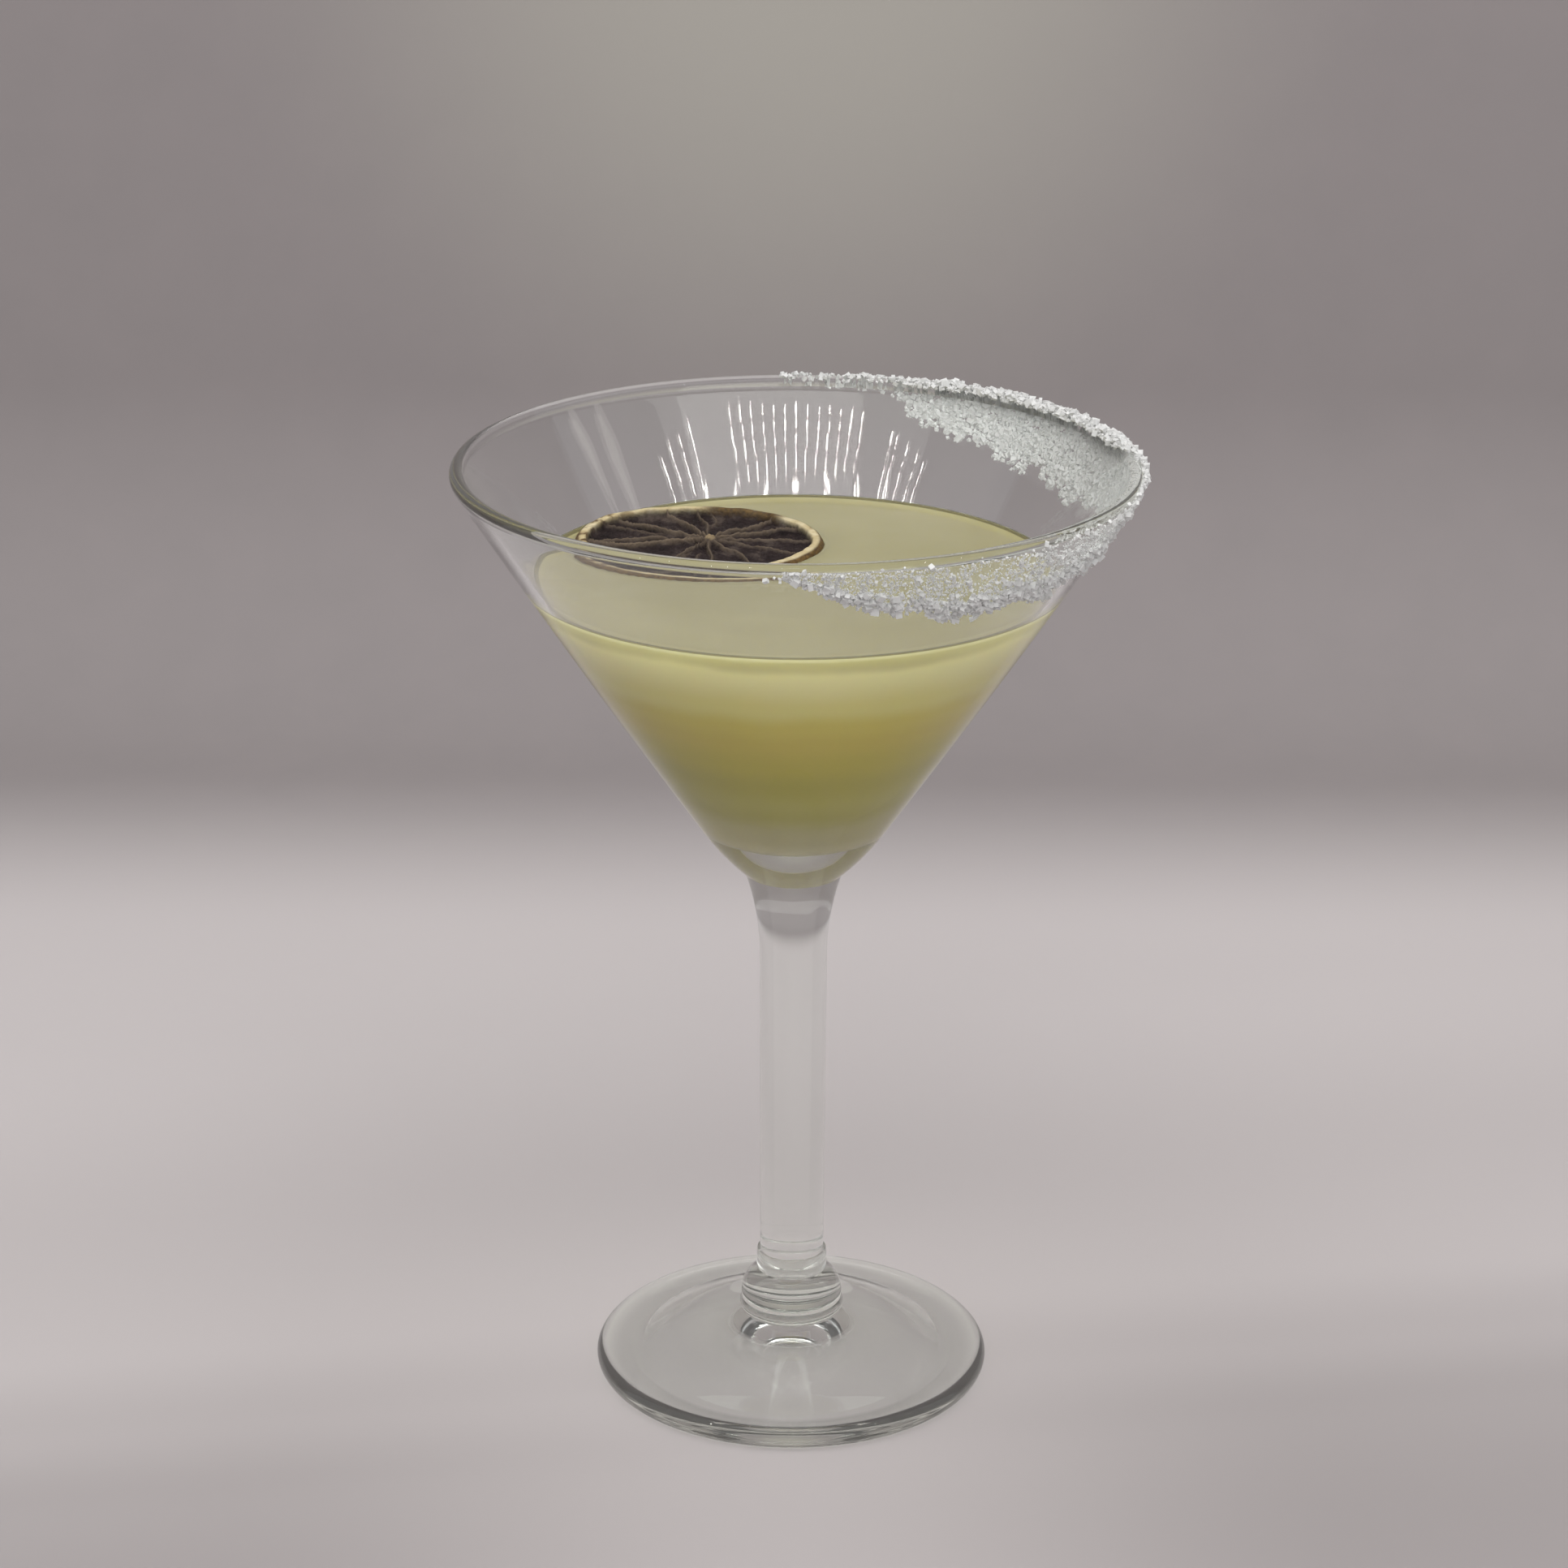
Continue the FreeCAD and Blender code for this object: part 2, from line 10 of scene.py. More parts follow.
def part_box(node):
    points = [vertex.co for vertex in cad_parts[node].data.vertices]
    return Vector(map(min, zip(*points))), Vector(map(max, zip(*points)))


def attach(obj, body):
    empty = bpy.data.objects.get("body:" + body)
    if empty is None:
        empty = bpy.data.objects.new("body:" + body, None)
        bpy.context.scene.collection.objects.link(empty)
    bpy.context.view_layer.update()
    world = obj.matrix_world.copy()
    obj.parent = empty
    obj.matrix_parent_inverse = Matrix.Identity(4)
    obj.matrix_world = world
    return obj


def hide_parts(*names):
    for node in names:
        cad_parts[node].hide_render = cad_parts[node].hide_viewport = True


# A margarita in its cocktail glass: clear glass, cloudy drink, dried lime wheel, salted rim.
# Metres throughout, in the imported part's frame: +Z up, the viewer on the -Y side.

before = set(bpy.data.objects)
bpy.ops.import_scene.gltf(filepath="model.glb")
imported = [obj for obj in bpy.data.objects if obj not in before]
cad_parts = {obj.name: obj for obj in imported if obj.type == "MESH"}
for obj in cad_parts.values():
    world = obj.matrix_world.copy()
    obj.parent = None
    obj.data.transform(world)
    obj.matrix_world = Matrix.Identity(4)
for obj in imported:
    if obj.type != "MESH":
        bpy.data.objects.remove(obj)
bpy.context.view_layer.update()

MM = 0.001
SEED = 7

# ------------------------------------------------------------------ sizes

GLASS_LOW, GLASS_HIGH = (Vector(corner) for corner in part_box("glass"))
DRINK_LOW, DRINK_HIGH = (Vector(corner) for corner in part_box("drink"))
LIME_LOW, LIME_HIGH = (Vector(corner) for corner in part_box("lime_wheel"))

RIM_TOP = GLASS_HIGH.z
RIM_RADIUS = GLASS_HIGH.x
WALL = 1.9 * MM
BEAD_RADIUS = 1.25 * MM
BEAD_SEAM = 0.8 * MM
SHOULDER = (15.98 * MM, 103.0 * MM)
SIDE_RADIUS = 1.9
MENISCUS_RISE = 0.8 * MM
MENISCUS_REACH = 1.6 * MM
LEVEL = DRINK_HIGH.z - MENISCUS_RISE
FLOOR = DRINK_LOW.z
INTO_WALL = 0.12 * MM


# ------------------------------------------------------------------ small helpers

def smooth(value):
    """Rises softly from 0 to 1."""
    value = min(1.0, max(0.0, value))
    return value * value * (3 - 2 * value)


def ramp(value, low, high):
    return smooth((value - low) / (high - low))


def spaced(start, end, steps):
    """Even steps from start to end, without the first."""
    return [start + (end - start) * step / steps for step in range(1, steps + 1)]


def bearings(around):
    """Even bearings all the way round."""
    return [2 * math.pi * step / around for step in range(around)]


def turning_point(is_past, low, high):
    """The value between low and high at which is_past turns true."""
    for _ in range(60):
        middle = (low + high) / 2
        low, high = (low, middle) if is_past(middle) else (middle, high)
    return (low + high) / 2


def new_mesh(name, vertices, faces, smoothed=True):
    mesh = bpy.data.meshes.new(name)
    mesh.from_pydata([tuple(v) for v in vertices], [], faces)
    mesh.update()
    piece = bpy.data.objects.new(name, mesh)
    bpy.context.scene.collection.objects.link(piece)
    if smoothed:
        mesh.polygons.foreach_set("use_smooth", [True] * len(mesh.polygons))
    return piece


def ring_faces(rings, around):
    """Faces of a closed skin over a first point, rings of points and a last point."""
    def at(ring, step):
        return 1 + ring * around + step % around

    steps = range(around)
    end = 1 + rings * around
    faces = [(0, at(0, step), at(0, step + 1)) for step in steps]
    faces += [(at(ring, step), at(ring + 1, step), at(ring + 1, step + 1), at(ring, step + 1))
              for ring in range(rings - 1) for step in steps]
    faces += [(at(rings - 1, step), end, at(rings - 1, step + 1)) for step in steps]
    return faces


def outward(piece):
    """Turns all faces of a closed piece outwards."""
    work = bmesh.new()
    work.from_mesh(piece.data)
    bmesh.ops.recalc_face_normals(work, faces=work.faces)
    work.to_mesh(piece.data)
    work.free()


def value_attribute(piece, name, values):
    """Stores one number for each vertex, for a material to read."""
    attribute = piece.data.attributes.new(name, "FLOAT", "POINT")
    attribute.data.foreach_set("value", np.asarray(values, dtype=np.float32))


class Shader:
    """A node material and short ways to fill it."""

    def __init__(self, name):
        self.material = bpy.data.materials.new(name)
        self.material.use_nodes = True
        self.nodes = self.material.node_tree.nodes
        self.links = self.material.node_tree.links
        self.surface = self.nodes["Principled BSDF"]
        self.output = self.nodes["Material Output"]

    def set(self, **values):
        """Plain values on the surface's own sockets."""
        for name, value in values.items():
            self.surface.inputs[name.replace("_", " ")].default_value = value

    def add(self, kind, **settings):
        node = self.nodes.new(kind)
        for name, value in settings.items():
            setattr(node, name, value)
        return node

    def link(self, source, target):
        self.links.new(source, target)

    def place(self):
        """Object coordinates, in metres."""
        return self.add("ShaderNodeTexCoord").outputs["Object"]

    def axes(self):
        """The same coordinates, one output for each axis."""
        node = self.add("ShaderNodeSeparateXYZ")
        self.link(self.place(), node.inputs["Vector"])
        return node.outputs

    def distance(self, place):
        """How far the surface lies from a place."""
        node = self.add("ShaderNodeVectorMath", operation="DISTANCE")
        self.link(self.place(), node.inputs[0])
        node.inputs[1].default_value = place
        return node.outputs["Value"]

    def noise(self, scale, detail, roughness=0.55):
        node = self.add("ShaderNodeTexNoise")
        node.inputs["Scale"].default_value = scale
        node.inputs["Detail"].default_value = detail
        node.inputs["Roughness"].default_value = roughness
        self.link(self.place(), node.inputs["Vector"])
        return node.outputs["Fac"]

    def map(self, source, low, high, to_low=0.0, to_high=1.0):
        node = self.add("ShaderNodeMapRange", interpolation_type="SMOOTHSTEP")
        node.inputs["From Min"].default_value = low
        node.inputs["From Max"].default_value = high
        node.inputs["To Min"].default_value = to_low
        node.inputs["To Max"].default_value = to_high
        self.link(source, node.inputs["Value"])
        return node.outputs["Result"]

    def math(self, operation, first, second):
        node = self.add("ShaderNodeMath", operation=operation)
        for socket, value in zip(node.inputs, (first, second)):
            if isinstance(value, (int, float)):
                socket.default_value = value
            else:
                self.link(value, socket)
        return node.outputs["Value"]

    def attribute(self, name):
        return self.add("ShaderNodeAttribute", attribute_name=name).outputs["Fac"]

    def mix(self, amount, first, second):
        """A colour between two, each a colour or a socket."""
        node = self.add("ShaderNodeMix", data_type="RGBA")
        self.link(amount, node.inputs[0])
        for socket, value in ((node.inputs[6], first), (node.inputs[7], second)):
            if isinstance(value, tuple):
                socket.default_value = (*value, 1.0)
            else:
                self.link(value, socket)
        return node.outputs[2]

    def colours(self, source, stops):
        """A colour ramp over a value from 0 to 1."""
        node = self.add("ShaderNodeValToRGB")
        node.color_ramp.interpolation = "EASE"
        band = node.color_ramp.elements
        band[0].position, band[0].color = stops[0][0], (*stops[0][1], 1.0)
        band[1].position, band[1].color = stops[-1][0], (*stops[-1][1], 1.0)
        for position, colour in stops[1:-1]:
            band.new(position).color = (*colour, 1.0)
        self.link(source, node.inputs["Fac"])
        return node.outputs["Color"]

    def paint(self, colour):
        self.link(colour, self.surface.inputs["Base Color"])

    def bump(self, height, distance, strength):
        node = self.add("ShaderNodeBump")
        node.inputs["Distance"].default_value = distance
        node.inputs["Strength"].default_value = strength
        self.link(height, node.inputs["Height"])
        self.link(node.outputs["Normal"], self.surface.inputs["Normal"])

    def clear_where(self, amount, tint):
        """Lets light go straight through, tinted, where amount is 1."""
        clear = self.add("ShaderNodeBsdfTransparent")
        clear.inputs["Color"].default_value = (*tint, 1.0)
        mixer = self.add("ShaderNodeMixShader")
        self.link(amount, mixer.inputs["Fac"])
        self.link(self.surface.outputs["BSDF"], mixer.inputs[1])
        self.link(clear.outputs["BSDF"], mixer.inputs[2])
        self.link(mixer.outputs["Shader"], self.output.inputs["Surface"])


def srgb(red, green, blue):
    """A linear colour from 0 to 255 screen values."""
    def linear(value):
        value /= 255.0
        return value / 12.92 if value <= 0.04045 else ((value + 0.055) / 1.055) ** 2.4
    return (linear(red), linear(green), linear(blue))


# ------------------------------------------------------------------ camera and light

CAMERA_BACK = 0.690
CAMERA_HEIGHT = 0.3665
CAMERA_DOWN = 0.3552
CAMERA_YAW = -0.00256
CAMERA_ROLL = 0.0048
LENS = 98.2


def make_camera():
    """Stands where the viewer stood, looking down on the glass."""
    data = bpy.data.cameras.new("camera")
    data.lens = LENS
    data.sensor_width = 36.0
    data.clip_start = 0.01
    camera = bpy.data.objects.new("camera", data)
    bpy.context.scene.collection.objects.link(camera)
    turn = Matrix.Rotation(-CAMERA_YAW, 3, "Z") @ Matrix.Rotation(math.pi / 2 - CAMERA_DOWN, 3, "X")
    turn = turn @ Matrix.Rotation(CAMERA_ROLL, 3, "Z")
    camera.matrix_world = Matrix.Translation((0, -CAMERA_BACK, CAMERA_HEIGHT)) @ turn.to_4x4()
    bpy.context.scene.camera = camera


def area_light(name, place, aim, size, power, colour):
    """A soft light. It isn't mirrored itself: make_lamps makes what the glass mirrors."""
    data = bpy.data.lights.new(name, "AREA")
    data.shape = "RECTANGLE"
    data.size, data.size_y = size
    data.energy = power
    data.color = colour
    lamp = bpy.data.objects.new(name, data)
    bpy.context.scene.collection.objects.link(lamp)
    direction = Vector(aim) - Vector(place)
    lamp.location = place
    lamp.rotation_euler = direction.to_track_quat("-Z", "Y").to_euler()
    lamp.visible_glossy = False


def make_lights():
    world = bpy.data.worlds.new("world")
    bpy.context.scene.world = world
    world.use_nodes = True
    background = world.node_tree.nodes["Background"]
    background.inputs["Color"].default_value = (0.95, 0.97, 1.0, 1.0)
    background.inputs["Strength"].default_value = 0.55
    area_light("top", place=(0.0, -0.05, 0.95), aim=(0.0, 0.0, 0.0),
               size=(1.4, 1.2), power=6.5, colour=(1.0, 0.99, 0.97))
    area_light("front", place=(0.2, -0.9, 0.9), aim=(0.0, 0.0, 0.1),
               size=(1.2, 0.9), power=7.0, colour=(1.0, 0.98, 0.96))


# The lamps that the glass mirrors hang in rows over the viewer's side, all at one height. A row
# lies further back the further it reaches to the sides, as the square of that reach. A group is
# its places to left and right, its rows, and the width and depth of its largest lamps.
LAMP_HEIGHT = 0.62
ROW_CURVE = 0.74
DOT = 0.0036
POINT_STRENGTH = 70.0
POINT_GROUPS = [
    ([0.033 * (number - 6) for number in range(13)], (-0.333, -0.338, -0.343, -0.348), DOT, DOT),
    ([0.33, 0.37, 0.41, 0.45], (-0.330, -0.335, -0.340, -0.345, -0.350), DOT, DOT),
    ([-0.43, -0.40, -0.36, -0.32, -0.30], (-0.334, -0.340, -0.346, -0.351), DOT, DOT),
    ([0.11 * (number - 4) for number in range(9)], (-0.352, -0.356, -0.360), 0.026, 0.0016),
]
SOFT_STRENGTH = 1.7
SOFT_GROUPS = [([0.60], (-0.290,), 0.07, 0.07), ([0.69], (-0.250,), 0.05, 0.08)]


def make_lamps(name, groups, strength):
    """Small lamps of uneven size, which sparkle in the bowl's back wall."""
    chance = random.Random(SEED + 5)
    vertices, faces = [], []
    for columns, rows, wide, deep in groups:
        for across in columns:
            for back in rows:
                size = chance.uniform(0.55, 1.0)
                x = across + chance.uniform(-0.002, 0.002)
                y = back + ROW_CURVE * across ** 2
                base = len(vertices)
                for dx, dy in ((-0.5, -0.5), (-0.5, 0.5), (0.5, 0.5), (0.5, -0.5)):
                    vertices.append((x + dx * wide * size, y + dy * deep * size, LAMP_HEIGHT))
                faces.append((base, base + 1, base + 2, base + 3))
    lamps = new_mesh(name, vertices, faces)
    shader = Shader(name)
    shader.set(Base_Color=(0.0, 0.0, 0.0, 1.0), Emission_Color=(1.0, 0.98, 0.94, 1.0))
    shader.set(Emission_Strength=strength)
    lamps.data.materials.append(shader.material)


# ------------------------------------------------------------------ table and wall

TABLE_FRONT = [-1.6, -0.8, -0.3, 0.0]
SWEEP_START = 0.30
SWEEP_RADIUS = 0.08
SWEEP_STEPS = 24
WALL_PLACE = SWEEP_START + SWEEP_RADIUS
WALL_UP = [0.5, 1.3]
SWEEP_HALF = 1.3
UNDER_FOOT = 0.0001

# Painted light on the table: its tone rises from the front to the back and towards the left.
TABLE_STRETCH = (-0.10, 0.24)
TABLE_SLANT = 0.17
TABLE_TONES = [(0.0, 158), (0.10, 167), (0.18, 179), (0.29, 190), (0.50, 188), (0.85, 197), (1.0, 199)]
TABLE_WARMTH = 6
TABLE_PAINTED_LIGHT = srgb(238, 231, 231)
WALL_DARK, WALL_LIGHT = srgb(144, 138, 138), srgb(149, 142, 142)
WALL_LIGHT_POOL = srgb(170, 166, 159)


def table_colour(shader, across, along):
    """Grey paper with painted light and shade: brighter to the back and left, a painted light patch before
    the glass, and a painted shadow under the foot.
    """
    # Painted light: the tone rises from front to back and towards the left.
    slanted = shader.math("SUBTRACT", along, shader.math("MULTIPLY", across, TABLE_SLANT))
    tones = [(at, srgb(tone, tone - TABLE_WARMTH, tone - TABLE_WARMTH)) for at, tone in TABLE_TONES]
    table = shader.colours(shader.map(slanted, *TABLE_STRETCH), tones)
    # Painted light: a lighter patch just before the glass, offsetting the shadow the bowl casts there.
    beside = shader.map(shader.math("ABSOLUTE", across, 0.0), 0.0, 0.10, 0.22, 0.0)
    before = shader.map(along, -0.04, 0.09, 1.0, 0.0)
    table = shader.mix(shader.math("MULTIPLY", beside, before), table, TABLE_PAINTED_LIGHT)
    # Painted shadow: the table is darker under the foot.
    foot_shadow = shader.map(shader.distance((0.0, 0.0, 0.0)), 0.030, 0.036, 0.29, 0.0)
    return shader.mix(foot_shadow, table, (0.0, 0.0, 0.0))


def wall_colour(shader):
    """Darker grey with a soft painted pool of light behind the glass."""
    wall = shader.mix(shader.noise(60.0, 3.0), WALL_DARK, WALL_LIGHT)
    # Painted light: a pale pool on the wall behind the glass.
    spot = shader.map(shader.distance((0.0, WALL_PLACE, 0.20)), 0.02, 0.16, 1.0, 0.0)
    return shader.mix(spot, wall, WALL_LIGHT_POOL)


def paper_material():
    shader = Shader("paper")
    axes = shader.axes()
    back = shader.map(axes["Y"], 0.20, 0.32)
    shader.paint(shader.mix(back, table_colour(shader, axes["X"], axes["Y"]), wall_colour(shader)))
    shader.set(Roughness=0.95, Specular_IOR_Level=0.1)
    behind = shader.add("ShaderNodeNewGeometry").outputs["Backfacing"]
    seen = shader.add("ShaderNodeLightPath").outputs["Is Camera Ray"]
    shader.clear_where(shader.math("MULTIPLY", behind, seen), (1.0, 1.0, 1.0))
    return shader.material


def make_stage():
    """A pale table that turns up softly into a darker wall, which can't be seen from behind."""
    points = [(along, 0.0) for along in TABLE_FRONT]
    for step in range(SWEEP_STEPS + 1):
        turn = math.pi / 2 * step / SWEEP_STEPS
        across, up = SWEEP_RADIUS * math.sin(turn), SWEEP_RADIUS * (1 - math.cos(turn))
        points.append((SWEEP_START + across, up))
    points += [(WALL_PLACE, up) for up in WALL_UP]
    vertices = [(side * SWEEP_HALF, along, up - UNDER_FOOT) for along, up in points for side in (-1, 1)]
    faces = [(2 * i, 2 * i + 1, 2 * i + 3, 2 * i + 2) for i in range(len(points) - 1)]
    sweep = new_mesh("sweep", vertices, faces)
    sweep.data.materials.append(paper_material())


# ------------------------------------------------------------------ the bowl's lines

def bead_centre():
    return (RIM_RADIUS - BEAD_RADIUS, RIM_TOP - BEAD_RADIUS)


def seam_point():
    """Where the outer side meets the rim's bead."""
    centre = bead_centre()
    return (centre[0] + math.sqrt(BEAD_RADIUS ** 2 - BEAD_SEAM ** 2), centre[1] - BEAD_SEAM)


def side_centre():
    """Centre of the long arc of the bowl's outer side."""
    seam = seam_point()
    across, up = seam[0] - SHOULDER[0], seam[1] - SHOULDER[1]
    chord = math.hypot(across, up)
    rise = math.sqrt(SIDE_RADIUS ** 2 - (chord / 2) ** 2)
    middle = ((SHOULDER[0] + seam[0]) / 2, (SHOULDER[1] + seam[1]) / 2)
    return (middle[0] - up / chord * rise, middle[1] + across / chord * rise)


SIDE_CENTRE = side_centre()


def side_at(up, inset=0.0):
    """The bowl's side at a height: the outer line, or a line inset from it."""
    radius = SIDE_RADIUS - inset
    return SIDE_CENTRE[0] + math.sqrt(radius ** 2 - (up - SIDE_CENTRE[1]) ** 2)


def bead_inside():
    """Where the inner side runs into the rim's bead."""
    middle = bead_centre()

    def on_bead(turn):
        return middle[0] - BEAD_RADIUS * math.cos(turn), middle[1] - BEAD_RADIUS * math.sin(turn)

    def past_side(turn):
        across, up = on_bead(turn)
        return across > side_at(up, WALL)

    return on_bead(turning_point(past_side, 0.0, math.pi / 2))


def floor_radius(inset):
    """Radius of the rounded floor that runs into the side."""
    def past_side(radius):
        return math.hypot(SIDE_CENTRE[0], FLOOR + radius - SIDE_CENTRE[1]) + radius > SIDE_RADIUS - inset

    return turning_point(past_side, 0.0001, 1.0)


def floor_line(inset, floor, steps):
    """The rounded floor, from where it leaves the side down to the upright axis."""
    radius = floor_radius(inset)
    middle = floor + radius
    away = math.atan2(middle - SIDE_CENTRE[1], -SIDE_CENTRE[0])
    turns = [away, *spaced(away, -math.pi / 2, steps)]
    return [(radius * math.cos(turn), middle + radius * math.sin(turn)) for turn in turns]


def arc_line(start, end, radius, leftward, steps):
    """Points of the short arc from start to end, without its first point."""
    across, up = end[0] - start[0], end[1] - start[1]
    chord = math.hypot(across, up)
    rise = math.sqrt(max(0.0, radius ** 2 - (chord / 2) ** 2)) * (1 if leftward else -1)
    centre = ((start[0] + end[0]) / 2 - up / chord * rise, (start[1] + end[1]) / 2 + across / chord * rise)
    first = math.atan2(start[1] - centre[1], start[0] - centre[0])
    last = math.atan2(end[1] - centre[1], end[0] - centre[0])
    sweep = (last - first + math.pi) % (2 * math.pi) - math.pi
    return [(centre[0] + radius * math.cos(turn), centre[1] + radius * math.sin(turn))
            for turn in spaced(first, first + sweep, steps)]


# ------------------------------------------------------------------ the glass

GLASS_AROUND = 288
SHARP_ANGLE = math.radians(24)
FOOT_RADIUS, FOOT_EDGE, FOOT_RING, FOOT_HOLLOW = 35.0 * MM, 4.0 * MM, 6.0 * MM, 5.0 * MM
CROWN = (8.9 * MM, 10.6 * MM)
FOOT_SWEEP = 80.0 * MM
BAND_HEIGHT, BAND_ROUND = 2.2 * MM, 1.9 * MM
KNOP_HEIGHT, KNOP_ROUND = 5.8 * MM, 5.6 * MM
RING_STEP, RING_HEIGHT, RING_ROUND = 0.45 * MM, 1.8 * MM, 3.0 * MM
STEM_RADIUS, STEM_GROWTH = 5.65 * MM, 0.25 * MM
NECK = (8.5 * MM, 94.6 * MM)
FLARE_HEIGHT, FLARE_ROUND = 15.6 * MM, 47.0 * MM
SHOULDER_ROUND = 45.0 * MM


def foot_line():
    """From the middle of the foot's hollow, round its edge and up to its crown."""
    edge = FOOT_EDGE / 2
    outside = FOOT_RADIUS - edge
    inside = outside - FOOT_RING
    dome = (inside ** 2 + FOOT_HOLLOW ** 2) / (2 * FOOT_HOLLOW)
    line = [(0.0, FOOT_HOLLOW)]
    line += arc_line(line[-1], (inside, 0.0), dome, leftward=False, steps=24)
    line += [(across, 0.0) for across in spaced(inside, outside, 4)]
    line += arc_line(line[-1], (FOOT_RADIUS, edge), edge, leftward=True, steps=10)
    line += arc_line(line[-1], (outside, FOOT_EDGE), edge, leftward=True, steps=10)
    return line + arc_line(line[-1], CROWN, FOOT_SWEEP, leftward=False, steps=28)


def stem_line():
    """From the foot's crown over the band, knop and rings, and up the stem to the shoulder."""
    band_top = CROWN[1] + BAND_HEIGHT
    knop_top = band_top + KNOP_HEIGHT
    ring = STEM_RADIUS + RING_STEP
    line = arc_line(CROWN, (CROWN[0], band_top), BAND_ROUND, leftward=True, steps=8)
    line += arc_line(line[-1], (ring, knop_top), KNOP_ROUND, leftward=True, steps=16)
    for number in (1, 2):
        ring_top = knop_top + RING_HEIGHT * number
        line += arc_line(line[-1], (ring, ring_top), RING_ROUND, leftward=True, steps=6)
    steps = 18
    ups = [ring_top, *spaced(ring_top, NECK[1] - FLARE_HEIGHT, steps)]
    line += [(STEM_RADIUS + STEM_GROWTH * step / steps, up) for step, up in enumerate(ups)]
    line += arc_line(line[-1], NECK, FLARE_ROUND, leftward=False, steps=18)
    return line + arc_line(line[-1], SHOULDER, SHOULDER_ROUND, leftward=True, steps=14)


def bowl_line():
    """Up the bowl's outer side, over the bead, down the inner side and in to the floor's middle."""
    seam, middle, inner = seam_point(), bead_centre(), bead_inside()
    line = [(side_at(up), up) for up in spaced(SHOULDER[1], seam[1], 26)]
    first = math.atan2(seam[1] - middle[1], seam[0] - middle[0])
    last = math.atan2(inner[1] - middle[1], inner[0] - middle[0]) + 2 * math.pi
    line += [(middle[0] + BEAD_RADIUS * math.cos(turn), middle[1] + BEAD_RADIUS * math.sin(turn))
             for turn in spaced(first, last, 26)]
    floor = floor_line(WALL, FLOOR, 16)
    line += [(side_at(up, WALL), up) for up in spaced(inner[1], floor[0][1], 26)]
    return line + floor[1:]


def lathe(name, line, around):
    """A closed piece turned from a line that starts and ends on the upright axis."""
    vertices = [(0.0, 0.0, line[0][1])]
    for across, up in line[1:-1]:
        vertices += [(across * math.cos(turn), across * math.sin(turn), up) for turn in bearings(around)]
    vertices.append((0.0, 0.0, line[-1][1]))
    piece = new_mesh(name, vertices, ring_faces(len(line) - 2, around))
    outward(piece)
    return piece


def glass_material():
    """Clear, faintly wavy glass, a little green where it is deep, that casts little shadow."""
    shader = Shader("clear_glass")
    shader.set(Base_Color=(0.985, 0.995, 0.99, 1.0), IOR=1.5, Roughness=0.02, Alpha=0.94)
    shader.set(Transmission_Weight=1.0)
    shader.bump(shader.noise(38.0, 1.0), 0.06 * MM, 1.0)
    to_lamp = shader.add("ShaderNodeLightPath").outputs["Is Shadow Ray"]
    shader.clear_where(to_lamp, (0.96, 0.98, 0.97))
    absorb = shader.add("ShaderNodeVolumeAbsorption")
    absorb.inputs["Color"].default_value = (0.84, 0.89, 0.76, 1.0)
    absorb.inputs["Density"].default_value = 9.0
    shader.link(absorb.outputs["Volume"], shader.output.inputs["Volume"])
    return shader.material


def make_glass():
    """The one piece of clear glass, finely turned so that it refracts cleanly."""
    glass = lathe("glass_body", foot_line() + stem_line() + bowl_line(), GLASS_AROUND)
    glass.data.set_sharp_from_angle(angle=SHARP_ANGLE)
    glass.data.materials.append(glass_material())
    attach(glass, "root")
    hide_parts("glass")


# ------------------------------------------------------------------ the drink

DRINK_AROUND = 256
LIME_CENTRE = (LIME_LOW + LIME_HIGH) / 2 + Vector((0.0, 1.3 * MM, 0.0))
LIME_HALF = (LIME_HIGH - LIME_LOW) / 2 - Vector((0.0, 0.8 * MM, 0.0))
CLIMB_AT_LIME, CLIMB_REACH = 0.5 * MM, 0.9 * MM
DIP_UNDER_LIME, DIP_REACH = 2.3 * MM, 1.2 * MM

# The side's tones by height are the drink's own yellow with painted light and shade: palest just under the
# surface, where light from above glows through, darker below, and lighter again low down where the side faces
# away from the light.
SIDE_TONES = [
    (0.0, (220, 213, 164)), (0.12, (196, 189, 116)), (0.30, (190, 181, 98)), (0.45, (202, 190, 98)),
    (0.62, (213, 197, 107)), (0.74, (220, 206, 116)), (0.86, (231, 224, 153)), (0.985, (238, 234, 190)),
    (1.0, (196, 192, 150)),
]
SURFACE_TONES = [(0.0, (148, 142, 100)), (1.0, (168, 162, 128))]
# Painted shade: the dark line where the surface climbs the glass and the lime wheel.
MENISCUS_SHADE = (84, 80, 60)


def lime_outline(turn):
    """The slice's outline, as a share of its half lengths: nearly round, a little uneven."""
    return 0.985 + 0.010 * math.sin(2 * turn + 0.9) + 0.006 * math.sin(5 * turn + 2.0)


def surface_height(x, y):
    """The drink's surface: level, climbing at the glass and the lime wheel, sunk below the wheel."""
    across = math.hypot(x, y)
    at_wall = max(0.0, 1 - (side_at(LEVEL, WALL) - across) / MENISCUS_REACH)
    rise = MENISCUS_RISE * at_wall ** 2
    dx, dy = (x - LIME_CENTRE.x) / LIME_HALF.x, (y - LIME_CENTRE.y) / LIME_HALF.y
    beyond = (math.hypot(dx, dy) - lime_outline(math.atan2(dy, dx))) * LIME_HALF.x
    rise += CLIMB_AT_LIME * math.exp(-max(0.0, beyond) / CLIMB_REACH)
    rise -= DIP_UNDER_LIME * smooth(-beyond / DIP_REACH)
    return LEVEL + rise


def drink_side():
    """The drink's side, from beside its lowest point up to the edge, just inside the glass wall."""
    inset = WALL - INTO_WALL
    line = floor_line(inset, FLOOR - INTO_WALL, 14)[:-1]
    line.reverse()
    return line + [(side_at(up, inset), up) for up in spaced(line[-1][1], LEVEL + MENISCUS_RISE, 30)]


